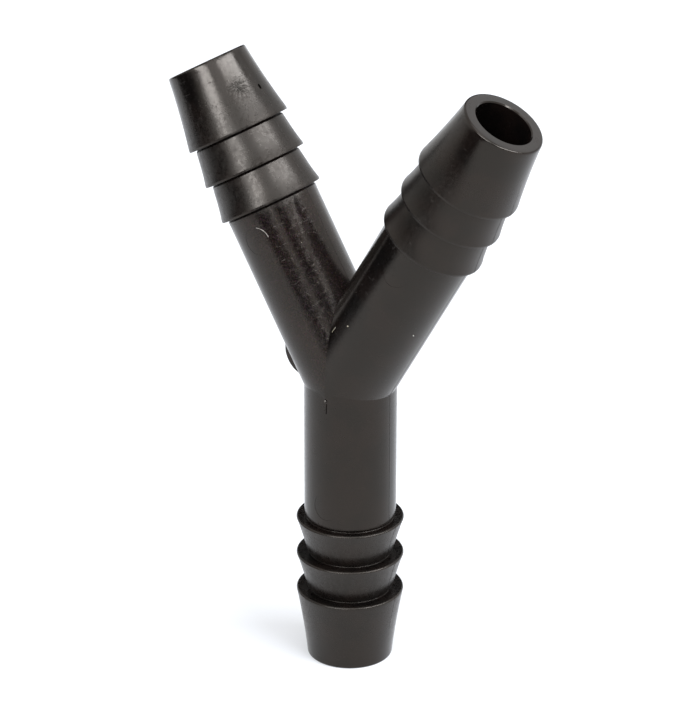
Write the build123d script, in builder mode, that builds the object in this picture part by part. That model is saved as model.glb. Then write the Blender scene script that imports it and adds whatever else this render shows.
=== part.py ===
from build123d import *
from math import cos, radians, sin
import os

# Barbed Y connector for flexible tubing: one black plastic moulding.
# One stem and two arms, each a round tube that ends in hose barbs, meet at one
# point. The part stands on the mouth of its stem. The origin is the centre of
# that mouth, +Z runs up the stem, and both arms lie in the XZ plane, which is
# also the plane where the two halves of the mould part.

# Driving dimensions, in millimetres and degrees.
stem_length = 33.5      # stem's mouth to the point where the three bores meet
arm_length = 36.5       # an arm's mouth to the same point
arm_angle = 30.0        # each arm leans this far away from the stem's line
bore_d = 6.3            # one bore size runs through all three limbs

stem_tube_d = 10.0      # plain tube of the stem, and the foot of each of its barbs
stem_crest_d = 11.7     # largest size over the stem's barbs
stem_tip_d = 9.3        # outside of the stem's mouth
arm_tube_d = 10.15      # the arms are a hair stouter, so they end in a crisp crease
arm_crest_d = 11.4
arm_tip_d = 8.9

nose_length = 8.1       # mouth to the shoulder of the first barb
nose_hollow = 0.1       # the nose is hollowed by this much from a straight cone
stem_barb_pitch = 4.3   # one shoulder to the next, on the stem
arm_barb_pitch = 4.1    # and on each arm
barb_count = 3
crest_land = 0.22       # narrow round band along each crest
rim_round = 0.25        # outer edge of each mouth
bore_lead_in = 0.3      # bevel on the inner edge of each mouth

tab_r = 3.0             # round gate tab on the outer side of the left arm
tab_rise = 1.75         # how far it stands out of the tube
tab_up_arm = 3.65       # its centre, up the arm from where the bores meet
tab_thick = 1.2         # half of it lies in each half of the mould
tab_bevel = 0.2

pin_mark_r = 1.5        # ejector pin marks, on the front of each tube
pin_mark_depth = 0.06
pin_mark_from_mouth = 19.4


class Limb:
    """Where a limb lies: its mouth, its way out of the part and its outer side."""

    def __init__(self, junction, way_out, outer_side, length):
        self.way_out = Vector(way_out)
        self.outer_side = Vector(outer_side)
        self.mouth = junction + self.way_out * length

    def section_plane(self):
        """X is the distance from the limb's axis, Y the distance in from its mouth."""
        normal = self.outer_side.cross(self.way_out * -1)
        return Plane(self.mouth, x_dir=self.outer_side, z_dir=normal)

    def mouth_plane(self):
        return Plane(self.mouth, x_dir=self.outer_side, z_dir=self.way_out)

    def front_plane(self, from_mouth):
        """Plane through the axis that faces the front, where the ejector pins push."""
        centre = self.mouth - self.way_out * from_mouth
        return Plane(centre, x_dir=self.outer_side, z_dir=(0, -1, 0))

    def axis(self):
        return Axis(self.mouth, self.way_out)


junction = Vector(0, 0, stem_length)
lean = radians(arm_angle)
stem = Limb(junction, (0, 0, -1), (1, 0, 0), stem_length)
right_arm = Limb(junction, (sin(lean), 0, cos(lean)), (cos(lean), 0, -sin(lean)), arm_length)
left_arm = Limb(junction, (-sin(lean), 0, cos(lean)), (-cos(lean), 0, -sin(lean)), arm_length)


def limb_section(tube_d, crest_d, tip_d, barb_pitch, length):
    """Half section of a limb, solid to its axis, with the saw-tooth side of its barbs."""
    tube_r = tube_d / 2
    crest_r = crest_d / 2
    with BuildSketch() as section:
        with BuildLine():
            rim = Line((0, 0), (tip_d / 2, 0))
            SagittaArc(rim @ 1, (crest_r, nose_length - crest_land), nose_hollow)
            for barb in range(barb_count):
                shoulder = nose_length + barb * barb_pitch
                Polyline((crest_r, shoulder - crest_land), (crest_r, shoulder), (tube_r, shoulder))
                if barb < barb_count - 1:
                    Line((tube_r, shoulder), (crest_r, shoulder + barb_pitch - crest_land))
            Polyline((tube_r, shoulder), (tube_r, length), (0, length), (0, 0))
        make_face()
        mouth_corners = section.vertices().group_by(Axis.Y)[0]
        fillet(mouth_corners.sort_by(Axis.X)[-1], rim_round)
    return section.sketch


def pin_mark(limb, tube_d):
    """What a contoured ejector pin leaves: a disc of the tube's own curve, just sunk."""
    with BuildPart() as mark:
        with BuildSketch(limb.section_plane()):
            with Locations((tube_d / 2, pin_mark_from_mouth)):
                Rectangle(2 * pin_mark_depth, 4 * pin_mark_r)
        revolve(axis=limb.axis())
        with BuildSketch(limb.front_plane(pin_mark_from_mouth)):
            Circle(pin_mark_r)
        extrude(amount=tube_d, mode=Mode.INTERSECT)
    return mark.part


def rims_of_radius(piece, radius):
    rims = piece.edges().filter_by(GeomType.CIRCLE)
    return rims.filter_by(lambda edge: abs(edge.radius - radius) < 0.001)


# One arm runs on past the junction and is trimmed at the plane between the two arms.
root_run = stem_tube_d / 2
with BuildPart() as arm_tube:
    with BuildSketch(right_arm.section_plane()):
        add(limb_section(arm_tube_d, arm_crest_d, arm_tip_d, arm_barb_pitch, arm_length + root_run))
    revolve(axis=right_arm.axis())
    split(bisect_by=Plane.YZ, keep=Keep.TOP)

with BuildPart() as connector:
    with BuildSketch(stem.section_plane()):
        add(limb_section(stem_tube_d, stem_crest_d, stem_tip_d, stem_barb_pitch, stem_length))
    revolve(axis=stem.axis())
    add(arm_tube.part)
    mirror(arm_tube.part, about=Plane.YZ)

    # The gate tab is a disc in the parting plane, mostly sunk in the left arm's wall.
    tab_from_axis = arm_tube_d / 2 + tab_rise - tab_r
    with BuildSketch(left_arm.section_plane()):
        with Locations((tab_from_axis, arm_length - tab_up_arm)):
            Circle(tab_r)
    extrude(amount=tab_thick / 2, both=True)
    chamfer(rims_of_radius(connector, tab_r), tab_bevel)

    add(pin_mark(stem, stem_tube_d), mode=Mode.SUBTRACT)
    add(pin_mark(right_arm, arm_tube_d), mode=Mode.SUBTRACT)
    add(pin_mark(left_arm, arm_tube_d), mode=Mode.SUBTRACT)

    # The three bores come last, so nothing is left standing in them.
    with Locations(stem.mouth_plane()):
        Hole(bore_d / 2, stem_length)
    with Locations(right_arm.mouth_plane(), left_arm.mouth_plane()):
        Hole(bore_d / 2, arm_length)
    chamfer(rims_of_radius(connector, bore_d / 2), bore_lead_in)

connector.part.label = "y_connector"
os.makedirs("parts", exist_ok=True)
export_step(connector.part, "parts/y_connector.step")
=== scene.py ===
from math import cos, pi, radians, sin

import bpy
from mathutils import Matrix, Vector


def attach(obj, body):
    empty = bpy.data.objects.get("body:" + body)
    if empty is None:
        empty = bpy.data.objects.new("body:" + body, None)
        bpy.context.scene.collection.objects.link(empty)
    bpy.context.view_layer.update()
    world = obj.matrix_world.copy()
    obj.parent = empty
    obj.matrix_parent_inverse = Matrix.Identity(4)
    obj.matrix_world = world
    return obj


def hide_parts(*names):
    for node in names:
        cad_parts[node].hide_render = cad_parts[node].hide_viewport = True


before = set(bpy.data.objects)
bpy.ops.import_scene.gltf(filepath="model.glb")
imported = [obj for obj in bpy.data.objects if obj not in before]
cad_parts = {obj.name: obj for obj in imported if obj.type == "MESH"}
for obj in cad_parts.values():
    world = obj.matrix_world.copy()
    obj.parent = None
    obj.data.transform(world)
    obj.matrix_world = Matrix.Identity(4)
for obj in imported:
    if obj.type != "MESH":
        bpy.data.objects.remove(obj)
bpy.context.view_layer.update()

# The connector: one injection moulding in black plastic. A stem and two arms, each a round tube with
# three saw-tooth hose barbs at its mouth, meet at one point and share one bore. It is built as the mould
# forms it: barbed limbs first, then the bores that the core pins leave, then the small witness marks.
mm = 0.001


def put(tree, kind, *wired, **settings):
    """Adds a node and fills its inputs in order, each with a value or with another node's output."""
    node = tree.nodes.new(kind)
    for name, value in settings.items():
        setattr(node, name, value)
    for socket, source in zip([s for s in node.inputs if s.enabled], wired):
        if source is None:
            continue
        if isinstance(source, bpy.types.NodeSocket):
            tree.links.new(source, socket)
        else:
            socket.default_value = source
    return node


def calc(tree, operation, *values):
    return put(tree, "ShaderNodeMath", *values, operation=operation).outputs[0]


def pick(tree, condition, otherwise, chosen):
    """One of two numbers, by a condition."""
    node = put(tree, "GeometryNodeSwitch", condition, otherwise, chosen, input_type="FLOAT")
    return next(s for s in node.outputs if s.enabled)


def new_tree(name, inputs, kind="GeometryNodeTree"):
    """A node group with named inputs and one geometry output."""
    tree = bpy.data.node_groups.new(name, kind)
    for label, socket_type in inputs.items():
        tree.interface.new_socket(label, in_out="INPUT", socket_type="NodeSocket" + socket_type)
    tree.interface.new_socket("Geometry", in_out="OUTPUT", socket_type="NodeSocketGeometry")
    return tree, tree.nodes.new("NodeGroupInput").outputs, tree.nodes.new("NodeGroupOutput").inputs


# Turns an outline, with its radius along X and its distance from the mouth along Y, into a closed solid.
revolve, given, made = new_tree("revolve", {"Outline": "Geometry", "Facets": "Int"})
outline_points = put(revolve, "GeometryNodeAttributeDomainSize", given["Outline"],
                     component="CURVE").outputs[0]
columns = calc(revolve, "ADD", given["Facets"], 1)
sheet = put(revolve, "GeometryNodeMeshGrid", 1.0, 1.0, outline_points, columns).outputs["Mesh"]
index = put(revolve, "GeometryNodeInputIndex").outputs[0]
half_step = 0.5  # added before rounding down, so that a whole number never falls to the one below
ring = calc(revolve, "FLOOR", calc(revolve, "DIVIDE", calc(revolve, "ADD", index, half_step), columns))
step = calc(revolve, "SUBTRACT", index, calc(revolve, "MULTIPLY", ring, columns))
turn = calc(revolve, "MULTIPLY", calc(revolve, "DIVIDE", step, given["Facets"]), -2 * pi)
position = put(revolve, "GeometryNodeInputPosition").outputs[0]
ring_point = put(revolve, "GeometryNodeSampleIndex", given["Outline"], position, ring,
                 data_type="FLOAT_VECTOR", domain="POINT")
ring_point = next(s for s in ring_point.outputs if s.enabled)
radius, distance, _ = put(revolve, "ShaderNodeSeparateXYZ", ring_point).outputs
place = put(revolve, "ShaderNodeCombineXYZ", calc(revolve, "MULTIPLY", radius, calc(revolve, "COSINE", turn)),
            calc(revolve, "MULTIPLY", radius, calc(revolve, "SINE", turn)), distance).outputs[0]
turned = put(revolve, "GeometryNodeSetPosition", sheet, None, place).outputs[0]
weld_gap = 0.001 * mm
turned = put(revolve, "GeometryNodeMergeByDistance", turned, None, weld_gap).outputs[0]
revolve.links.new(turned, made[0])

# One barbed limb, standing with its mouth at the origin and its tube running up the Z axis. Its outline
# starts on the axis, climbs the nose in steps, and then takes four corners to each barb: the crest, the
# bottom of the groove that undercuts the shoulder, the start of the next flank, and the next crest's edge.
limb, given, made = new_tree("barbed_limb", {
    "Tube Diameter": "Float", "Crest Diameter": "Float", "Tip Diameter": "Float", "Length": "Float",
    "Nose Length": "Float", "Nose Hollow": "Float", "Barb Pitch": "Float", "Crest Land": "Float",
    "Root Diameter": "Float", "Undercut": "Float", "Groove Depth": "Float", "Groove Width": "Float",
    "Flank Hollow": "Float", "Rim Radius": "Float", "Crest Radius": "Float", "Root Radius": "Float",
    "Barbs": "Int", "Facets": "Int", "Ring Spacing": "Float",
})
nose_steps = 8
first_barb_point = nose_steps + 2
corners_per_barb = 4
crest_corner, root_corner, flank_corner, next_corner = range(corners_per_barb)
tube_r = calc(limb, "MULTIPLY", given["Tube Diameter"], 0.5)
crest_r = calc(limb, "MULTIPLY", given["Crest Diameter"], 0.5)
tip_r = calc(limb, "MULTIPLY", given["Tip Diameter"], 0.5)
barb_points = calc(limb, "MULTIPLY", given["Barbs"], corners_per_barb)
last_point = calc(limb, "ADD", barb_points, first_barb_point)
line = put(limb, "GeometryNodeMeshLine", calc(limb, "ADD", last_point, 1)).outputs[0]
index = put(limb, "GeometryNodeInputIndex").outputs[0]


def equals(value, number):
    """1 where a value in the limb's tree is this whole number, and 0 elsewhere."""
    tolerance = 0.1
    return calc(limb, "COMPARE", value, number, tolerance)


along_nose = calc(limb, "DIVIDE", calc(limb, "SUBTRACT", index, 1), nose_steps)
sag_peak = 1 / 4  # the greatest value of the sag below, half way up the nose
sag = calc(limb, "MULTIPLY", calc(limb, "MULTIPLY", along_nose, calc(limb, "SUBTRACT", 1, along_nose)),
           calc(limb, "MULTIPLY", given["Nose Hollow"], 1 / sag_peak))
cone_r = calc(limb, "ADD", tip_r, calc(limb, "MULTIPLY", calc(limb, "SUBTRACT", crest_r, tip_r), along_nose))
nose_r = calc(limb, "SUBTRACT", cone_r, sag)
nose_s = calc(limb, "MULTIPLY", along_nose, calc(limb, "SUBTRACT", given["Nose Length"], given["Crest Land"]))

barb_index = calc(limb, "SUBTRACT", index, first_barb_point)
barb = calc(limb, "FLOOR", calc(limb, "DIVIDE", calc(limb, "ADD", barb_index, half_step), corners_per_barb))
corner = calc(limb, "SUBTRACT", barb_index, calc(limb, "MULTIPLY", barb, corners_per_barb))
shoulder = calc(limb, "ADD", given["Nose Length"], calc(limb, "MULTIPLY", barb, given["Barb Pitch"]))
next_crest = calc(limb, "ADD", shoulder, calc(limb, "SUBTRACT", given["Barb Pitch"], given["Crest Land"]))
is_root = equals(corner, root_corner)
is_flank = equals(corner, flank_corner)
is_next = calc(limb, "GREATER_THAN", corner, next_corner - half_step)
is_last_barb = calc(limb, "GREATER_THAN", barb, calc(limb, "SUBTRACT", given["Barbs"], 1 + half_step))
next_r = pick(limb, is_last_barb, crest_r, tube_r)
next_s = pick(limb, is_last_barb, next_crest, given["Length"])
root_r = pick(limb, is_last_barb, calc(limb, "MULTIPLY", given["Root Diameter"], 0.5), tube_r)
root_s = calc(limb, "SUBTRACT", shoulder, given["Undercut"])
flank_s = calc(limb, "ADD", shoulder, given["Groove Width"])
flank_share = calc(limb, "DIVIDE", given["Groove Width"], calc(limb, "SUBTRACT", next_s, shoulder))
flank_rise = calc(limb, "MULTIPLY", calc(limb, "SUBTRACT", next_r, root_r), flank_share)
flank_r = calc(limb, "ADD", root_r, flank_rise)
groove_r = calc(limb, "SUBTRACT", root_r, given["Groove Depth"])
barb_r = pick(limb, is_root, pick(limb, is_flank, crest_r, flank_r), groove_r)
barb_r = pick(limb, is_next, barb_r, next_r)
barb_s = pick(limb, is_root, pick(limb, is_flank, shoulder, flank_s), root_s)
barb_s = pick(limb, is_next, barb_s, next_s)

past_nose = calc(limb, "GREATER_THAN", index, first_barb_point - half_step)
is_start = calc(limb, "LESS_THAN", index, half_step)
is_end = calc(limb, "GREATER_THAN", index, calc(limb, "SUBTRACT", last_point, half_step))
point_r = pick(limb, past_nose, nose_r, barb_r)
point_r = pick(limb, calc(limb, "ADD", is_start, is_end), point_r, 0.0)
point_s = pick(limb, past_nose, nose_s, barb_s)
point_s = pick(limb, is_start, pick(limb, is_end, point_s, given["Length"]), 0.0)
outline = put(limb, "GeometryNodeSetPosition", line, None,
              put(limb, "ShaderNodeCombineXYZ", point_r, point_s, 0.0).outputs[0]).outputs[0]

is_rim = equals(index, 1)
is_crest = calc(limb, "MULTIPLY", past_nose, equals(corner, crest_corner))
is_foot = calc(limb, "MULTIPLY", past_nose, is_root)
is_crest = calc(limb, "MULTIPLY", is_crest, calc(limb, "SUBTRACT", 1, is_end))
rounding = calc(limb, "ADD", calc(limb, "MULTIPLY", is_rim, given["Rim Radius"]), calc(
    limb, "ADD", calc(limb, "MULTIPLY", is_crest, given["Crest Radius"]),
    calc(limb, "MULTIPLY", is_foot, given["Root Radius"])))
outline = put(limb, "GeometryNodeStoreNamedAttribute", outline, None, "rounding", rounding,
              data_type="FLOAT", domain="POINT").outputs[0]
outline = put(limb, "GeometryNodeMeshToCurve", outline).outputs[0]
rounding = put(limb, "GeometryNodeInputNamedAttribute", "rounding", data_type="FLOAT").outputs[0]
round_steps = 8
fillet = limb.nodes.new("GeometryNodeFilletCurve")
fillet.mode = "POLY"
limb.links.new(outline, fillet.inputs["Curve"])
fillet.inputs["Count"].default_value = round_steps
limb.links.new(rounding, fillet.inputs["Radius"])
outline = fillet.outputs[0]

position = put(limb, "GeometryNodeInputPosition").outputs[0]
index = put(limb, "GeometryNodeInputIndex").outputs[0]
following = put(limb, "GeometryNodeFieldAtIndex", position, calc(limb, "ADD", index, 1),
                data_type="FLOAT_VECTOR", domain="POINT")
following = next(s for s in following.outputs if s.enabled)
run = put(limb, "ShaderNodeVectorMath", position, following, operation="DISTANCE").outputs["Value"]
cuts = calc(limb, "FLOOR", calc(limb, "DIVIDE", run, given["Ring Spacing"]))
outline = put(limb, "GeometryNodeSubdivideCurve", outline, cuts).outputs[0]

# The sink marks behind the barbs: each flank is drawn in a little between its root and its crest.
_, distance, _ = put(limb, "ShaderNodeSeparateXYZ", put(limb, "GeometryNodeInputPosition").outputs[0]).outputs
pitches = calc(limb, "DIVIDE", calc(limb, "SUBTRACT", distance, given["Nose Length"]), given["Barb Pitch"])
whole = calc(limb, "FLOOR", pitches)
past_shoulder = calc(limb, "MULTIPLY", calc(limb, "SUBTRACT", pitches, whole), given["Barb Pitch"])
flank = calc(limb, "DIVIDE", past_shoulder, calc(limb, "SUBTRACT", given["Barb Pitch"], given["Crest Land"]))
flank = calc(limb, "MINIMUM", flank, 1.0)
edge_margin = 0.001  # of a pitch, which keeps the first and the last shoulder where they are
on_flank = calc(limb, "MULTIPLY", calc(limb, "GREATER_THAN", pitches, edge_margin), calc(
    limb, "LESS_THAN", pitches, calc(limb, "SUBTRACT", given["Barbs"], 1 + edge_margin)))
bow_peak = 4 / 27  # the greatest value of the bow below, two thirds of the way up the flank
bow = calc(limb, "MULTIPLY", calc(limb, "MULTIPLY", flank, flank), calc(limb, "SUBTRACT", 1.0, flank))
drawn_in = calc(limb, "MULTIPLY", calc(limb, "MULTIPLY", bow, on_flank),
                calc(limb, "MULTIPLY", given["Flank Hollow"], -1 / bow_peak))
outline = put(limb, "GeometryNodeSetPosition", outline, None, None,
              put(limb, "ShaderNodeCombineXYZ", drawn_in, 0.0, 0.0).outputs[0]).outputs[0]
solid = put(limb, "GeometryNodeGroup", node_tree=revolve)
limb.links.new(outline, solid.inputs["Outline"])
limb.links.new(given["Facets"], solid.inputs["Facets"])
limb.links.new(solid.outputs[0], made[0])


def place_outline(tree, points):
    """A line of points, each given as its radius and its distance from the mouth, as a curve."""
    index = put(tree, "GeometryNodeInputIndex").outputs[0]
    radius, distance = points[-1]
    for number in reversed(range(len(points) - 1)):
        here = calc(tree, "LESS_THAN", index, number + half_step)
        radius = pick(tree, here, radius, points[number][0])
        distance = pick(tree, here, distance, points[number][1])
    line = put(tree, "GeometryNodeMeshLine", len(points)).outputs[0]
    spot = put(tree, "ShaderNodeCombineXYZ", radius, distance, 0.0).outputs[0]
    line = put(tree, "GeometryNodeSetPosition", line, None, spot).outputs[0]
    return put(tree, "GeometryNodeMeshToCurve", line).outputs[0]


# A core pin, which leaves one limb's bore: its flare rounds off the edge of the mouth.
core_pin, given, made = new_tree("core_pin", {
    "Bore Diameter": "Float", "Length": "Float", "Lead In": "Float", "Facets": "Int"})
bore_r = calc(core_pin, "MULTIPLY", given["Bore Diameter"], 0.5)
flare_r = calc(core_pin, "ADD", bore_r, given["Lead In"])
outside = -1.0 * mm
pin = place_outline(core_pin, [(0.0, outside), (flare_r, outside), (flare_r, 0.0), (bore_r, given["Lead In"]),
                               (bore_r, given["Length"]), (0.0, given["Length"])])
pin = put(core_pin, "GeometryNodeGroup", pin, given["Facets"], node_tree=revolve).outputs[0]
core_pin.links.new(pin, made[0])

# The whole moulding. The arms are made from one limb, which leans and is trimmed between the two arms.
connector_inputs = {
    "Stem Length": 33.5 * mm, "Arm Length": 36.5 * mm, "Arm Angle": radians(30), "Bore Diameter": 6.3 * mm,
    "Stem Tube Diameter": 10.0 * mm, "Stem Crest Diameter": 11.7 * mm, "Stem Tip Diameter": 9.3 * mm,
    "Arm Tube Diameter": 10.15 * mm, "Arm Crest Diameter": 11.4 * mm, "Arm Tip Diameter": 8.88 * mm,
    "Nose Length": 8.1 * mm, "Nose Hollow": 0.1 * mm, "Stem Barb Pitch": 4.3 * mm, "Arm Barb Pitch": 4.1 * mm,
    "Crest Land": 0.22 * mm, "Stem Root Diameter": 9.25 * mm, "Arm Root Diameter": 10.0 * mm,
    "Undercut": 0.1 * mm, "Groove Depth": 0.28 * mm, "Groove Width": 0.26 * mm, "Flank Hollow": 0.05 * mm,
    "Rim Radius": 0.25 * mm, "Stem Crest Radius": 0.2 * mm, "Arm Crest Radius": 0.03 * mm,
    "Root Radius": 0.06 * mm, "Bore Lead In": 0.12 * mm, "Tab Radius": 3.0 * mm, "Tab Rise": 1.75 * mm,
    "Tab Up Arm": 3.65 * mm, "Tab Thickness": 1.2 * mm, "Tab Bevel": 0.2 * mm, "Pin Mark Radius": 1.5 * mm,
    "Pin Mark Depth": 0.02 * mm, "Pin Mark From Mouth": 19.4 * mm, "Flash": 0.02 * mm,
    "Ring Spacing": 0.5 * mm, "Barbs": 3, "Facets": 128,
}
moulding, given, made = new_tree("y_connector_moulding", {
    name: "Int" if isinstance(value, int) else "Float" for name, value in connector_inputs.items()})


def vector(tree, x=0.0, y=0.0, z=0.0):
    return put(tree, "ShaderNodeCombineXYZ", x, y, z).outputs[0]


def solve(tree, operation, first, *others):
    """Joins closed solids, keeps what they share, or cuts the others out of the first."""
    node = tree.nodes.new("GeometryNodeMeshBoolean")
    node.operation = operation
    node.solver = "MANIFOLD"
    if operation == "DIFFERENCE":
        tree.links.new(first, node.inputs[0])
    else:
        others = (first, *others)
    for other in others:
        tree.links.new(other, node.inputs[1])
    return node.outputs[0]


def moved(tree, solid, place=None, turn=None, shape=None):
    return put(tree, "GeometryNodeTransform", solid, place, turn, shape).outputs[0]


def make_limb(limb_name, length, facets, extra=0.0):
    """One limb; extra is added to its diameters, and taken from its mouth's, to make the flash."""
    node = put(moulding, "GeometryNodeGroup", node_tree=limb)
    for label, change in (("Tube Diameter", "ADD"), ("Crest Diameter", "ADD"), ("Root Diameter", "ADD"),
                          ("Tip Diameter", "SUBTRACT")):
        moulding.links.new(calc(moulding, change, given[f"{limb_name} {label}"], extra), node.inputs[label])
    for label in ("Barb Pitch", "Crest Radius"):
        moulding.links.new(given[f"{limb_name} {label}"], node.inputs[label])
    moulding.links.new(length, node.inputs["Length"])
    for label in ("Nose Length", "Nose Hollow", "Crest Land", "Undercut", "Groove Depth", "Groove Width",
                  "Flank Hollow", "Rim Radius", "Root Radius", "Barbs", "Ring Spacing"):
        moulding.links.new(given[label], node.inputs[label])
    if isinstance(facets, int):
        node.inputs["Facets"].default_value = facets
    else:
        moulding.links.new(facets, node.inputs["Facets"])
    return node.outputs[0]


lean_sine = calc(moulding, "SINE", given["Arm Angle"])
lean_cosine = calc(moulding, "COSINE", given["Arm Angle"])
arm_mouth = vector(moulding, calc(moulding, "MULTIPLY", given["Arm Length"], lean_sine), 0.0, calc(
    moulding, "ADD", given["Stem Length"], calc(moulding, "MULTIPLY", given["Arm Length"], lean_cosine)))
arm_turn = vector(moulding, 0.0, calc(moulding, "ADD", given["Arm Angle"], pi), 0.0)
half_turn = (0.0, 0.0, pi)
root_run = calc(moulding, "MULTIPLY", given["Stem Tube Diameter"], 0.5)
arm_run = calc(moulding, "ADD", given["Arm Length"], root_run)
beyond = 100 * mm
beyond_trim = put(moulding, "GeometryNodeMeshCube", (beyond, beyond, 2 * beyond)).outputs[0]
beyond_trim = moved(moulding, beyond_trim, (-beyond / 2, 0.0, 0.0))


def three_limbs(facets, extra=0.0):
    stem = make_limb("Stem", given["Stem Length"], facets, extra)
    arm = make_limb("Arm", arm_run, facets, extra)
    arm = solve(moulding, "DIFFERENCE", moved(moulding, arm, arm_mouth, arm_turn), beyond_trim)
    return solve(moulding, "UNION", stem, arm, moved(moulding, arm, None, half_turn))


body = three_limbs(given["Facets"])

# Flash: the hair-thin ridge where the mould's two halves meet, along both sides of every limb.
flash_facets = 16
flash_width = 0.06 * mm
flash = three_limbs(flash_facets, calc(moulding, "MULTIPLY", given["Flash"], 2))
slab = put(moulding, "GeometryNodeMeshCube", (beyond, flash_width, 2 * beyond)).outputs[0]
flash = solve(moulding, "INTERSECT", flash, slab)

# The gate tab: a bevelled disc in the plane of the parting line, mostly sunk in the left arm's wall.
tab_from_axis = calc(moulding, "SUBTRACT", calc(moulding, "ADD", calc(
    moulding, "MULTIPLY", given["Arm Tube Diameter"], 0.5), given["Tab Rise"]), given["Tab Radius"])
tab_x = calc(moulding, "ADD", calc(moulding, "MULTIPLY", given["Tab Up Arm"], lean_sine),
             calc(moulding, "MULTIPLY", tab_from_axis, lean_cosine))
tab_z = calc(moulding, "SUBTRACT", calc(moulding, "MULTIPLY", given["Tab Up Arm"], lean_cosine),
             calc(moulding, "MULTIPLY", tab_from_axis, lean_sine))
tab_place = vector(moulding, calc(moulding, "MULTIPLY", tab_x, -1), 0.0,
                   calc(moulding, "ADD", given["Stem Length"], tab_z))
tab_facets = 72
bevels = calc(moulding, "MULTIPLY", given["Tab Bevel"], 2)
wide = put(moulding, "GeometryNodeMeshCylinder", tab_facets, 1, 1, given["Tab Radius"],
           calc(moulding, "SUBTRACT", given["Tab Thickness"], bevels)).outputs[0]
face_r = calc(moulding, "SUBTRACT", given["Tab Radius"], given["Tab Bevel"])
narrow = put(moulding, "GeometryNodeMeshCylinder", tab_facets, 1, 1,
             face_r, given["Tab Thickness"]).outputs[0]
both = moulding.nodes.new("GeometryNodeJoinGeometry")
for disc in (wide, narrow):
    moulding.links.new(disc, both.inputs[0])
tab = put(moulding, "GeometryNodeConvexHull", both.outputs[0]).outputs[0]
tab = moved(moulding, tab, tab_place, (pi / 2, 0.0, 0.0))

body = solve(moulding, "UNION", body, flash, tab)

# Ejector pins with the tube's own curve on their ends leave a sunk disc on the front of each limb.
mark_facets = 48
pin_reach = 8.0 * mm
blank = put(moulding, "GeometryNodeMeshCylinder", mark_facets, 1, 1,
            given["Pin Mark Radius"], pin_reach).outputs[0]
blank = moved(moulding, blank, (0.0, -pin_reach / 2, 0.0), (pi / 2, 0.0, 0.0))


def pin_end(tube):
    floor_r = calc(moulding, "SUBTRACT", calc(moulding, "MULTIPLY", tube, 0.5), given["Pin Mark Depth"])
    core = put(moulding, "GeometryNodeMeshCylinder", given["Facets"], 1, 1, floor_r, pin_reach).outputs[0]
    return solve(moulding, "DIFFERENCE", blank, core)


from_junction = calc(moulding, "SUBTRACT", given["Arm Length"], given["Pin Mark From Mouth"])
mark_x = calc(moulding, "MULTIPLY", from_junction, lean_sine)
mark_z = calc(moulding, "ADD", given["Stem Length"], calc(moulding, "MULTIPLY", from_junction, lean_cosine))
stem_mark = moved(moulding, pin_end(given["Stem Tube Diameter"]),
                  vector(moulding, 0.0, 0.0, given["Pin Mark From Mouth"]))
arm_mark = pin_end(given["Arm Tube Diameter"])
right_mark = moved(moulding, arm_mark, vector(moulding, mark_x, 0.0, mark_z),
                   vector(moulding, 0.0, given["Arm Angle"], 0.0))

# The left pin stood a hair proud in its hole, and left a burr round the upper inner part of its mark.
burr_from = radians(64)
burr_sweep = radians(66)
burr_r = 0.038 * mm
burr_steps = 40
raggedness = 0.12 * mm
ragged_per_metre = 2500
wire_sides = 8
arc = moulding.nodes.new("GeometryNodeCurveArc")
arc.inputs["Resolution"].default_value = burr_steps
arc.inputs["Start Angle"].default_value = burr_from
arc.inputs["Sweep Angle"].default_value = -burr_sweep
moulding.links.new(given["Pin Mark Radius"], arc.inputs["Radius"])
arc_x, arc_z, _ = put(moulding, "ShaderNodeSeparateXYZ",
                      put(moulding, "GeometryNodeInputPosition").outputs[0]).outputs
tube_r = calc(moulding, "MULTIPLY", given["Arm Tube Diameter"], 0.5)
arc_y = calc(moulding, "SQRT", calc(moulding, "SUBTRACT", calc(moulding, "MULTIPLY", tube_r, tube_r),
                                    calc(moulding, "MULTIPLY", arc_x, arc_x)))
ragged = put(moulding, "ShaderNodeTexNoise", noise_dimensions="3D")
ragged.inputs["Scale"].default_value = ragged_per_metre
ragged.inputs["Detail"].default_value = 2
arc_x = calc(moulding, "ADD", arc_x, calc(moulding, "MULTIPLY", calc(
    moulding, "SUBTRACT", ragged.outputs[0], 0.5), raggedness))
burr = put(moulding, "GeometryNodeSetPosition", arc.outputs[0], None,
           vector(moulding, arc_x, calc(moulding, "MULTIPLY", arc_y, -1), arc_z)).outputs[0]
burr_ring = put(moulding, "GeometryNodeCurvePrimitiveCircle", wire_sides, mode="RADIUS")
burr_ring.inputs["Radius"].default_value = burr_r
burr_tube = moulding.nodes.new("GeometryNodeCurveToMesh")
moulding.links.new(burr, burr_tube.inputs["Curve"])
moulding.links.new(burr_ring.outputs[0], burr_tube.inputs["Profile Curve"])
burr_tube.inputs["Fill Caps"].default_value = True
left_mark_place = vector(moulding, calc(moulding, "MULTIPLY", mark_x, -1), 0.0, mark_z)
left_lean = vector(moulding, 0.0, calc(moulding, "MULTIPLY", given["Arm Angle"], -1), 0.0)
burr = moved(moulding, burr_tube.outputs[0], left_mark_place, left_lean)
left_mark = moved(moulding, arm_mark, left_mark_place, left_lean)

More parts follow.
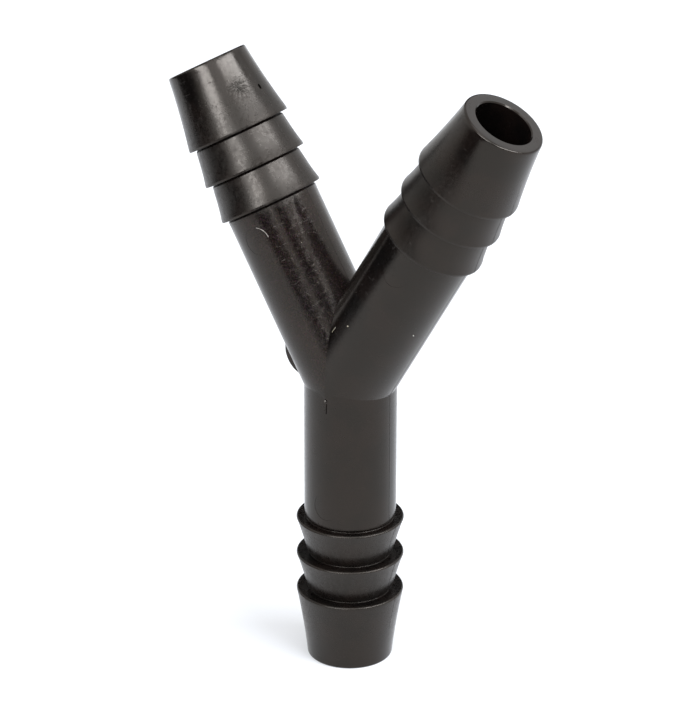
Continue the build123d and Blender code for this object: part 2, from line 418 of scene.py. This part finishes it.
# Knocks in handling: a nick cut down the front below the crotch, with the bead of plastic that it raised
# standing in a scoop at its top, and a pit in the left nose.
ball_detail = 3
nick_size = (0.12 * mm, 0.5 * mm, 1.15 * mm)
nick_place = (0.14 * mm, -5.15 * mm, 31.05 * mm)
nick_lean = (0.0, 0.05, 0.0)  # radians
nick = moved(moulding, put(moulding, "GeometryNodeMeshCube", nick_size).outputs[0], nick_place, nick_lean)
raised_r = 0.11 * mm
scoop_r = 0.3 * mm
raised_place = (0.03 * mm, -5.0 * mm, 31.95 * mm)
scoop_place = (0.03 * mm, -5.2 * mm, 31.93 * mm)
scoop = put(moulding, "GeometryNodeMeshIcoSphere", scoop_r, ball_detail).outputs[0]
scoop = moved(moulding, scoop, scoop_place)
raised = put(moulding, "GeometryNodeMeshIcoSphere", raised_r, ball_detail).outputs[0]
raised = moved(moulding, raised, raised_place)
pit_r = 0.26 * mm
pit_place = (-11.52 * mm, 0.02 * mm, 63.5 * mm)
pit_turn = (0.0, radians(-30), 0.0)
pit_shape = (1.0, 0.7, 1.3)
pit = put(moulding, "GeometryNodeMeshIcoSphere", pit_r, ball_detail).outputs[0]
pit = moved(moulding, pit, pit_place, pit_turn, pit_shape)

stem_core, arm_core = (
    put(moulding, "GeometryNodeGroup", given["Bore Diameter"], given[length], given["Bore Lead In"],
        given["Facets"], node_tree=core_pin).outputs[0] for length in ("Stem Length", "Arm Length"))
arm_core = moved(moulding, arm_core, arm_mouth, arm_turn)
body = solve(moulding, "DIFFERENCE", body, stem_mark, right_mark, left_mark, scoop)
body = solve(moulding, "UNION", body, burr, raised)
body = solve(moulding, "DIFFERENCE", body, nick, pit, stem_core, arm_core,
             moved(moulding, arm_core, None, half_turn))

crisp_edge = radians(11.5)
edge_angle = put(moulding, "GeometryNodeInputMeshEdgeAngle").outputs[0]
body = put(moulding, "GeometryNodeSetShadeSmooth", body, None, True, domain="FACE").outputs[0]
is_crisp = calc(moulding, "GREATER_THAN", edge_angle, crisp_edge)
body = put(moulding, "GeometryNodeSetShadeSmooth", body, is_crisp, False, domain="EDGE").outputs[0]
body = put(moulding, "GeometryNodeRealizeInstances", body).outputs[0]

# The plastic is a black polyolefin with a moulded gloss. Its skin is finely grained, dullest on the
# barbs, rubbed along each limb, and speckled where the pellets mixed unevenly.
plastic = bpy.data.materials.new("black_plastic")
plastic.use_nodes = True
skin = plastic.node_tree
surface = skin.nodes["Principled BSDF"]


def noise(tree, where, scale, detail, roughness=0.5):
    """A fixed pattern: its height, from 0 to 1, and its colours."""
    node = tree.nodes.new("ShaderNodeTexNoise")
    tree.links.new(where, node.inputs["Vector"])
    for name, value in (("Scale", scale), ("Detail", detail), ("Roughness", roughness)):
        node.inputs[name].default_value = value
    return node.outputs


def between(tree, value, low, high, to_low=0.0, to_high=1.0):
    """Maps a range of values smoothly onto another."""
    node = put(tree, "ShaderNodeMapRange", value, low, high, to_low, to_high, interpolation_type="SMOOTHSTEP")
    return node.outputs[0]


def blend(tree, share, first, second):
    """A colour that runs from the first to the second as the share goes from 0 to 1."""
    node = put(tree, "ShaderNodeMix", share, first, second, data_type="RGBA")
    return next(o for o in node.outputs if o.enabled)


# Where a spot lies on its limb: millimetres in from the limb's mouth, and millimetres round from its front.
in_mm = 1000.0
object_place = skin.nodes.new("ShaderNodeTexCoord").outputs["Object"]
in_millimetres = put(skin, "ShaderNodeVectorMath", object_place, (in_mm, in_mm, in_mm),
                     operation="MULTIPLY").outputs[0]
x_mm, y_mm, z_mm = put(skin, "ShaderNodeSeparateXYZ", in_millimetres).outputs
junction_mm = connector_inputs["Stem Length"] * in_mm
arm_mm = connector_inputs["Arm Length"] * in_mm
lean = connector_inputs["Arm Angle"]
side_mm = calc(skin, "ABSOLUTE", x_mm)
above_mm = calc(skin, "SUBTRACT", z_mm, junction_mm)
up_arm = calc(skin, "ADD", calc(skin, "MULTIPLY", side_mm, sin(lean)),
              calc(skin, "MULTIPLY", above_mm, cos(lean)))
across_arm = calc(skin, "SUBTRACT", calc(skin, "MULTIPLY", side_mm, cos(lean)),
                  calc(skin, "MULTIPLY", above_mm, sin(lean)))
arms_start_mm = (-1.0, 0.0)
on_arm = between(skin, above_mm, *arms_start_mm)
on_left = calc(skin, "MULTIPLY", on_arm, calc(skin, "LESS_THAN", x_mm, 0.0))


def choose(tree, share, first, second):
    """A number that runs from the first to the second as the share goes from 0 to 1."""
    node = put(tree, "ShaderNodeMix", share, first, second, data_type="FLOAT")
    return next(o for o in node.outputs if o.enabled)


from_mouth = choose(skin, on_arm, z_mm, calc(skin, "SUBTRACT", arm_mm, up_arm))
across = choose(skin, on_arm, x_mm, across_arm)
tube_r_mm = 5.0
around = calc(skin, "MULTIPLY", calc(skin, "ARCTAN2", across, calc(skin, "MULTIPLY", y_mm, -1)), tube_r_mm)
nose_mm = connector_inputs["Nose Length"] * in_mm

# The patterns in the skin. Their scales, and how closely the rubs lie, are in turns to a millimetre.
rubs_across, rubs_along = 2.2, 0.22
along_limb = put(skin, "ShaderNodeCombineXYZ", calc(skin, "MULTIPLY", around, rubs_across),
                 calc(skin, "MULTIPLY", from_mouth, rubs_along), x_mm).outputs[0]
grain = noise(skin, in_millimetres, scale=9.0, detail=3, roughness=0.6)
mottle = noise(skin, in_millimetres, scale=2.2, detail=4, roughness=0.7)
clouds = noise(skin, in_millimetres, scale=0.35, detail=2)
rubs = noise(skin, along_limb, scale=1.0, detail=4, roughness=0.7)
speckle = noise(skin, in_millimetres, scale=9.0, detail=2, roughness=0.7)

# Hair scratches lie across the limbs, a few to each, where the mottle runs high.
scratches_across, scratches_along, scratch_bend = 0.35, 0.9, 1.2
scratch_scale = 0.8
scratch_width = 0.02  # as a share of a cell
scratched_mottle = (0.5, 0.62)
scratch_warp = noise(skin, in_millimetres, scale=0.6, detail=1)
scratch_turn = calc(skin, "ADD", calc(skin, "MULTIPLY", around, scratches_across),
                    calc(skin, "MULTIPLY", scratch_warp[0], scratch_bend))
scratch_place = put(skin, "ShaderNodeCombineXYZ", scratch_turn,
                    calc(skin, "MULTIPLY", from_mouth, scratches_along), 0.0).outputs[0]
scratch_cells = skin.nodes.new("ShaderNodeTexVoronoi")
scratch_cells.feature = "DISTANCE_TO_EDGE"
skin.links.new(scratch_place, scratch_cells.inputs["Vector"])
scratch_cells.inputs["Scale"].default_value = scratch_scale
scratches = between(skin, scratch_cells.outputs["Distance"], 0.0, scratch_width, 1.0, 0.0)
scratches = calc(skin, "MULTIPLY", scratches, between(skin, mottle[0], *scratched_mottle))

# A crazed spot on the left nose, where the gloss broke up in short rays round one point.
craze_mm = (-12.52, -2.38, 63.91)
craze_reach = (0.15, 1.7)
rays_around, rays_outward = 2.4, 0.9
ray_edge = (0.48, 0.58)
craze_from = put(skin, "ShaderNodeVectorMath", in_millimetres, craze_mm, operation="SUBTRACT").outputs[0]
craze_distance = put(skin, "ShaderNodeVectorMath", craze_from, operation="LENGTH").outputs["Value"]
_, craze_y, craze_z = put(skin, "ShaderNodeSeparateXYZ", craze_from).outputs
craze_turn = calc(skin, "ARCTAN2", craze_z, craze_y)
ray_place = vector(skin, calc(skin, "MULTIPLY", craze_turn, rays_around),
                   calc(skin, "MULTIPLY", craze_distance, rays_outward))
rays = noise(skin, ray_place, scale=1.6, detail=2, roughness=0.6)
craze = calc(skin, "MULTIPLY", between(skin, craze_distance, *craze_reach, 1.0, 0.0),
             between(skin, rays[0], *ray_edge))

# Gloss: bright at the mouths, dull on the barbs, bright again where the tubes start and a little duller
# towards the junction. The right arm's skin is worn half as much as the rest.
mouth_dull, crest_dull = 0.17, 0.31
tube_start_mm, tube_gloss = (16.4, 17.4), 0.15
junction_from_mm, junction_dull = (20.0, 28.0), 0.05
least_wear = 0.5
craze_dull, scratch_dull = 0.3, 0.1
rim_mm = 1.0
toward_crest = between(skin, from_mouth, rim_mm, nose_mm)
dull = choose(skin, toward_crest, mouth_dull, crest_dull)
dull = calc(skin, "SUBTRACT", dull, between(skin, from_mouth, *tube_start_mm, 0.0, tube_gloss))
dull = calc(skin, "ADD", dull, between(skin, from_mouth, *junction_from_mm, 0.0, junction_dull))
worn = choose(skin, calc(skin, "SUBTRACT", on_arm, on_left), 1.0, least_wear)
patches = calc(skin, "ADD", between(skin, mottle[0], low=0.35, high=0.7, to_low=-0.05, to_high=0.07),
               between(skin, rubs[0], low=0.4, high=0.7, to_low=-0.02, to_high=0.05))
dull = calc(skin, "ADD", dull, calc(skin, "MULTIPLY", patches, worn))
dull = calc(skin, "ADD", dull, calc(skin, "MULTIPLY", craze, craze_dull))
dull = calc(skin, "ADD", dull, calc(skin, "MULTIPLY", scratches, scratch_dull))
skin.links.new(dull, surface.inputs["Roughness"])

# Colour: a warm black, with brown, green and violet specks that show on the left arm's tube above all.
black = (0.0024, 0.0019, 0.0017, 1.0)
brown_black = (0.0050, 0.0032, 0.0026, 1.0)
even = (0.35, 0.65)  # the part of a noise pattern that runs from one tone to the other
speck_saturation = 2.2
speck_edge = (0.47, 0.7)
faint_specks, tube_specks = 0.0012, 0.035
specked_from_mm = (15.5, 17.5)
wall_mm = (3.6, 4.2)  # off the limb's axis, which leaves out the bore
tone = blend(skin, between(skin, clouds[0], *even), black, brown_black)
specked = put(skin, "ShaderNodeHueSaturation")
specked.inputs["Saturation"].default_value = speck_saturation
skin.links.new(speckle[1], specked.inputs["Color"])
specked = specked.outputs[0]
on_tube = between(skin, from_mouth, *specked_from_mm)
off_axis_mm = put(skin, "ShaderNodeCombineXYZ", across, y_mm, 0.0).outputs[0]
off_axis_mm = put(skin, "ShaderNodeVectorMath", off_axis_mm, operation="LENGTH").outputs["Value"]
on_tube = calc(skin, "MULTIPLY", on_tube, between(skin, off_axis_mm, *wall_mm))
most_specks = choose(skin, calc(skin, "MULTIPLY", on_left, on_tube), faint_specks, tube_specks)
speck_strength = calc(skin, "MULTIPLY", between(skin, speckle[0], *speck_edge), most_specks)
tone = blend(skin, speck_strength, tone, specked)

# Painted highlight: a pale colour painted on the burr round the left pin mark, and on the front of the bead,
# where they catch the light.
painted_highlight_pale = (0.26, 0.24, 0.21, 1.0)
burr_edge_mm = (0.05, 0.12)
proud_mm = (5.077, 5.09)  # off the arm's axis, just past the tube's own skin
bead_edge_mm = (0.04, 0.1)
mark_in_mm = connector_inputs["Pin Mark From Mouth"] * in_mm
mark_r_mm = connector_inputs["Pin Mark Radius"] * in_mm
burr_distance = put(skin, "ShaderNodeCombineXYZ", calc(skin, "SUBTRACT", from_mouth, mark_in_mm),
                    across, 0.0).outputs[0]
burr_distance = put(skin, "ShaderNodeVectorMath", burr_distance, operation="LENGTH").outputs["Value"]
burr_off = calc(skin, "ABSOLUTE", calc(skin, "SUBTRACT", burr_distance, mark_r_mm))
# The painted highlight along the burr, patchy with the mottle.
painted_highlight = calc(skin, "MULTIPLY", between(skin, burr_off, *burr_edge_mm, 1.0, 0.0),
                between(skin, off_axis_mm, *proud_mm))
painted_highlight = calc(skin, "MULTIPLY", painted_highlight, calc(
    skin, "MULTIPLY", on_left, between(skin, mottle[0], low=0.38, high=0.5, to_low=0.35)))
# The bead's painted highlight sits on its front and a little above.
to_front = (0.0, -raised_r, raised_r / 2)
bead_front_mm = tuple((middle + off) * in_mm for middle, off in zip(raised_place, to_front))
bead_distance = put(skin, "ShaderNodeVectorMath", in_millimetres, bead_front_mm,
                    operation="DISTANCE").outputs["Value"]
painted_highlight = calc(skin, "MAXIMUM", painted_highlight, between(skin, bead_distance, *bead_edge_mm, 1.0, 0.0))
# Blends the painted highlight on the burr and the bead into the black.
tone = blend(skin, painted_highlight, tone, painted_highlight_pale)
skin.links.new(tone, surface.inputs["Base Color"])
surface.inputs["Specular Tint"].default_value = (1.0, 0.895, 0.78, 1.0)
surface.inputs["Specular IOR Level"].default_value = 0.37

# Relief, in millimetres: the grain, the mottle and the rubs stand up, and scratches and rays are cut in.
grain_mm, mottle_mm, rubs_mm, scratch_mm, ray_mm = 0.0045, 0.004, 0.003, 0.004, 0.03
relief = calc(skin, "ADD", calc(skin, "MULTIPLY", grain[0], grain_mm),
              calc(skin, "MULTIPLY", mottle[0], mottle_mm))
relief = calc(skin, "ADD", relief, calc(skin, "MULTIPLY", rubs[0], rubs_mm))
relief = calc(skin, "MULTIPLY", relief, worn)
relief = calc(skin, "SUBTRACT", relief, calc(skin, "MULTIPLY", scratches, scratch_mm))
relief = calc(skin, "SUBTRACT", relief, calc(skin, "MULTIPLY", craze, ray_mm))
bump = put(skin, "ShaderNodeBump")
bump.inputs["Strength"].default_value = 1.0
bump.inputs["Distance"].default_value = mm
skin.links.new(relief, bump.inputs["Height"])
skin.links.new(bump.outputs[0], surface.inputs["Normal"])
body = put(moulding, "GeometryNodeSetMaterial", body, None, plastic).outputs[0]
moulding.links.new(body, made[0])


def plain_mesh(name, tree, inputs, body):
    """Runs a tree with these inputs, keeps its result as a plain mesh, and hangs it on a body."""
    piece = bpy.data.objects.new(name, bpy.data.meshes.new(name))
    bpy.context.scene.collection.objects.link(piece)
    modifier = piece.modifiers.new(name, "NODES")
    modifier.node_group = tree
    sockets = {item.name: item.identifier for item in tree.interface.items_tree if item.in_out == "INPUT"}
    for label, value in inputs.items():
        modifier[sockets[label]] = value
    evaluated = piece.evaluated_get(bpy.context.evaluated_depsgraph_get())
    mesh = bpy.data.meshes.new_from_object(evaluated)
    piece.modifiers.clear()
    piece.data = mesh
    mesh.name = name
    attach(piece, body)
    return piece


# It is made to the main sizes of the CAD solid, and takes that solid's place.
connector = plain_mesh("connector_moulding", moulding, connector_inputs, "root")
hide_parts("y_connector")

# Dust: three pale grains and one short fibre, settled on the front of the arms and by the crotch. Each
# grain is a rough speck that clings to the gloss, and the fibre is a bent hair of yellowish lint.
dust_lint = bpy.data.materials.new("dust_lint")
dust_lint.use_nodes = True
lint = dust_lint.node_tree
lint_surface = lint.nodes["Principled BSDF"]
lint_place = lint.nodes.new("ShaderNodeTexCoord").outputs["Object"]
yellow_lint = (0.40, 0.35, 0.24, 1.0)
pale_lint = (0.75, 0.72, 0.65, 1.0)
lint_tones = noise(lint, lint_place, scale=900.0, detail=2)
lint_tone = blend(lint, between(lint, lint_tones[0], *even), yellow_lint, pale_lint)
lint.links.new(lint_tone, lint_surface.inputs["Base Color"])
lint_fuzz = noise(lint, lint_place, scale=9000.0, detail=3)
lint.links.new(between(lint, lint_fuzz[0], low=0.3, high=0.7, to_low=0.75, to_high=0.95),
               lint_surface.inputs["Roughness"])

dust_inputs = {"Grain Radius": 0.075 * mm, "Fibre Radius": 0.02 * mm, "Seed": 4}
dust_tree, given, made = new_tree("dust_grains", {
    "Grain Radius": "Float", "Fibre Radius": "Float", "Seed": "Int"})
# The middle of each grain in millimetres, and its size as a share of the grain radius. The same three
# numbers turn the grain, so that no two lie alike.
grain_places = ((2.74, -4.91, 41.12, 0.9), (9.32, -2.47, 40.7, 0.75), (-4.1, -3.24, 48.56, 0.5))
flatter, taller = 0.8, 1.15
rough_speck = put(dust_tree, "GeometryNodeMeshIcoSphere", given["Grain Radius"], ball_detail).outputs[0]
seed = put(dust_tree, "ShaderNodeCombineXYZ", given["Seed"], 0.0, 0.0).outputs[0]
dust = dust_tree.nodes.new("GeometryNodeJoinGeometry")
for x, y, z, size in grain_places:
    one = put(dust_tree, "GeometryNodeTransform", rough_speck, (x * mm, y * mm, z * mm), (x, y, z),
              (size, size * flatter, size * taller)).outputs[0]
    dust_tree.links.new(one, dust.inputs[0])
fibre_points = ((0.42, -4.30, 39.72), (0.50, -4.33, 39.95), (0.72, -4.36, 40.12), (0.84, -4.32, 40.38))
fibre_curve = put(dust_tree, "GeometryNodeCurvePrimitiveBezierSegment")
for label, point in zip(("Start", "Start Handle", "End Handle", "End"), fibre_points):
    fibre_curve.inputs[label].default_value = tuple(length * mm for length in point)
fibre_ring = put(dust_tree, "GeometryNodeCurvePrimitiveCircle", wire_sides, mode="RADIUS")
dust_tree.links.new(given["Fibre Radius"], fibre_ring.inputs["Radius"])
fibre = dust_tree.nodes.new("GeometryNodeCurveToMesh")
dust_tree.links.new(fibre_curve.outputs[0], fibre.inputs["Curve"])
dust_tree.links.new(fibre_ring.outputs[0], fibre.inputs["Profile Curve"])
fibre.inputs["Fill Caps"].default_value = True
dust_tree.links.new(fibre.outputs[0], dust.inputs[0])
lump = 0.05 * mm
lumps_per_metre = 9000
roughened = put(dust_tree, "ShaderNodeTexNoise", noise_dimensions="3D")
seeded = put(dust_tree, "ShaderNodeVectorMath", put(dust_tree, "GeometryNodeInputPosition").outputs[0],
             seed, operation="ADD").outputs[0]
dust_tree.links.new(seeded, roughened.inputs["Vector"])
roughened.inputs["Scale"].default_value = lumps_per_metre
normal = put(dust_tree, "GeometryNodeInputNormal").outputs[0]
swell = put(dust_tree, "ShaderNodeVectorMath", normal, operation="SCALE")
dust_tree.links.new(calc(dust_tree, "MULTIPLY", calc(dust_tree, "SUBTRACT", roughened.outputs[0], 0.5), lump),
                    swell.inputs["Scale"])
dusted = put(dust_tree, "GeometryNodeSetPosition", dust.outputs[0], None, None, swell.outputs[0]).outputs[0]
dusted = put(dust_tree, "GeometryNodeRealizeInstances", dusted).outputs[0]
dusted = put(dust_tree, "GeometryNodeSetMaterial", dusted, None, dust_lint).outputs[0]
dust_tree.links.new(dusted, made[0])
plain_mesh("dust_grains", dust_tree, dust_inputs, "root")

# The stage: a white table top that reaches far past the view, and a white room round it. The table top
# glows to the eye and in reflections, more strongly far off, so it reads as white where nothing shades it.
table_size = 6.0
bpy.ops.mesh.primitive_plane_add(size=table_size)
table = bpy.context.object
table.name = "table_top"
table_white = bpy.data.materials.new("table_white")
table_white.use_nodes = True
table_nodes = table_white.node_tree
table_nodes.nodes.clear()


def seen_directly(tree):
    """1 for rays from the eye, or by way of a gloss or a clear body, and 0 for scattered light."""
    paths = put(tree, "ShaderNodeLightPath").outputs
    seen = calc(tree, "MAXIMUM", paths["Is Camera Ray"], paths["Is Glossy Ray"])
    return calc(tree, "MAXIMUM", seen, paths["Is Transmission Ray"])


pure_white = (1.0, 1.0, 1.0, 1.0)
paper_bounce = 0.36  # what the paper gives back to the things that stand on it
paper_extra = 0.25  # what it adds to that when it is looked at
near_glow, far_glow = 0.29, 0.8
glow_grows = (0.15, 1.6)  # metres from the middle of the table
paper_white = calc(table_nodes, "ADD", paper_bounce, calc(
    table_nodes, "MULTIPLY", seen_directly(table_nodes), paper_extra))
paper = put(table_nodes, "ShaderNodeBsdfDiffuse", paper_white).outputs[0]
table_place = table_nodes.nodes.new("ShaderNodeTexCoord").outputs["Object"]
from_middle = put(table_nodes, "ShaderNodeVectorMath", table_place, operation="LENGTH").outputs["Value"]
table_glow = between(table_nodes, from_middle, *glow_grows, near_glow, far_glow)
glow = put(table_nodes, "ShaderNodeEmission", pure_white,
           calc(table_nodes, "MULTIPLY", seen_directly(table_nodes), table_glow)).outputs[0]
white = put(table_nodes, "ShaderNodeAddShader", paper, glow).outputs[0]
put(table_nodes, "ShaderNodeOutputMaterial", white)
table.data.materials.append(table_white)

room = bpy.data.worlds.new("white_room")
bpy.context.scene.world = room
room.use_nodes = True
room.node_tree.nodes.clear()
room_fill = 0.5  # what the room gives as scattered light, of the 1 that the eye and the gloss see
seen = seen_directly(room.node_tree)
strength = calc(room.node_tree, "ADD", calc(room.node_tree, "MULTIPLY", seen, 1.0 - room_fill), room_fill)
put(room.node_tree, "ShaderNodeOutputWorld",
    put(room.node_tree, "ShaderNodeBackground", pure_white, strength).outputs[0])

# The lamps are five soft boxes: the two strong ones stand at the front and on the right, and the weak
# ones hang overhead, between those two, and behind the connector.
lit_point = Vector((0.0, 0.0, 45 * mm))
box_distance = 1.6  # metres, as are the sizes of the boxes and the cards
daylight = (0.95, 1.0, 1.09)


def toward(azimuth, elevation):
    """The direction from the connector at these degrees, round from the front to the right, and upwards."""
    level = cos(radians(elevation))
    return Vector((sin(radians(azimuth)) * level, -cos(radians(azimuth)) * level, sin(radians(elevation))))


def soft_box(name, azimuth, elevation, width, height, radiance):
    data = bpy.data.lights.new(name, "AREA")
    data.shape = "RECTANGLE"
    data.size = width
    data.size_y = height
    data.energy = radiance * pi * width * height
    data.color = daylight
    lamp = bpy.data.objects.new(name, data)
    bpy.context.scene.collection.objects.link(lamp)
    lamp.location = lit_point + toward(azimuth, elevation) * box_distance
    lamp.rotation_euler = toward(azimuth, elevation).to_track_quat("Z", "Y").to_euler()
    lamp.visible_camera = False


soft_box("front_box", azimuth=5, elevation=23.5, width=1.05, height=0.40, radiance=14.5)
soft_box("right_box", azimuth=90, elevation=39.5, width=1.5, height=0.38, radiance=16.5)
soft_box("top_box", azimuth=45, elevation=74, width=1.2, height=1.0, radiance=2.2)
soft_box("middle_box", azimuth=44, elevation=38, width=0.9, height=0.36, radiance=2.4)
soft_box("rear_box", azimuth=163, elevation=40, width=2.0, height=0.6, radiance=0.5)

# Four black felt cards stand round the table, seen only in the gloss, to give it something dark to mirror:
# a low one at the front left, a low one in front, one where the camera itself would be, and one behind.
black_felt = bpy.data.materials.new("black_felt")
black_felt.use_nodes = True
black_felt.node_tree.nodes.clear()
felt_black = (0.02, 0.02, 0.02, 1.0)
put(black_felt.node_tree, "ShaderNodeOutputMaterial",
    put(black_felt.node_tree, "ShaderNodeBsdfDiffuse", felt_black).outputs[0])


def black_card(name, azimuth, elevation, distance, width, height):
    bpy.ops.mesh.primitive_plane_add(size=1.0)
    card = bpy.context.object
    card.name = name
    turn = toward(azimuth, elevation).to_track_quat("Z", "Y").to_matrix().to_4x4()
    card.data.transform(Matrix.Translation(lit_point + toward(azimuth, elevation) * distance) @ turn
                        @ Matrix.Diagonal((width, height, 1.0, 1.0)))
    card.visible_camera = False
    card.visible_shadow = False
    card.visible_diffuse = False
    card.data.materials.append(black_felt)


black_card("left_card", azimuth=-62, elevation=-1, distance=0.2, width=0.38, height=0.084)
black_card("camera_card", azimuth=51, elevation=16, distance=0.36, width=0.19, height=0.12)
black_card("front_card", azimuth=6, elevation=1.5, distance=0.2, width=0.18, height=0.056)
black_card("back_card", azimuth=213, elevation=22, distance=0.4, width=0.34, height=0.26)

# The camera looks down on the front from the right, at the whole connector.
camera_azimuth = radians(32.42)
camera_elevation = radians(23.14)
camera_roll = radians(0.171)
camera_distance = 364.5 * mm
aim_right = -0.07 * mm
aim_up = 35.12 * mm
frame_height_px = 716
focal_px = 3409.8
back = Vector((sin(camera_azimuth) * cos(camera_elevation), -cos(camera_azimuth) * cos(camera_elevation),
               sin(camera_elevation)))
level_right = Vector((cos(camera_azimuth), sin(camera_azimuth), 0.0))
level_up = back.cross(level_right)
right = cos(camera_roll) * level_right + sin(camera_roll) * level_up
up = back.cross(right)
eye = level_right * aim_right + Vector((0.0, 0.0, aim_up)) + back * camera_distance
camera_data = bpy.data.cameras.new("camera")
camera_data.sensor_width = 36.0
camera_data.lens = focal_px / frame_height_px * camera_data.sensor_width
camera_data.clip_start = 0.01
camera = bpy.data.objects.new("camera", camera_data)
bpy.context.scene.collection.objects.link(camera)
camera.matrix_world = Matrix.Translation(eye) @ Matrix((right, up, back)).transposed().to_4x4()
bpy.context.scene.camera = camera

bpy.context.scene.view_settings.view_transform = "Standard"
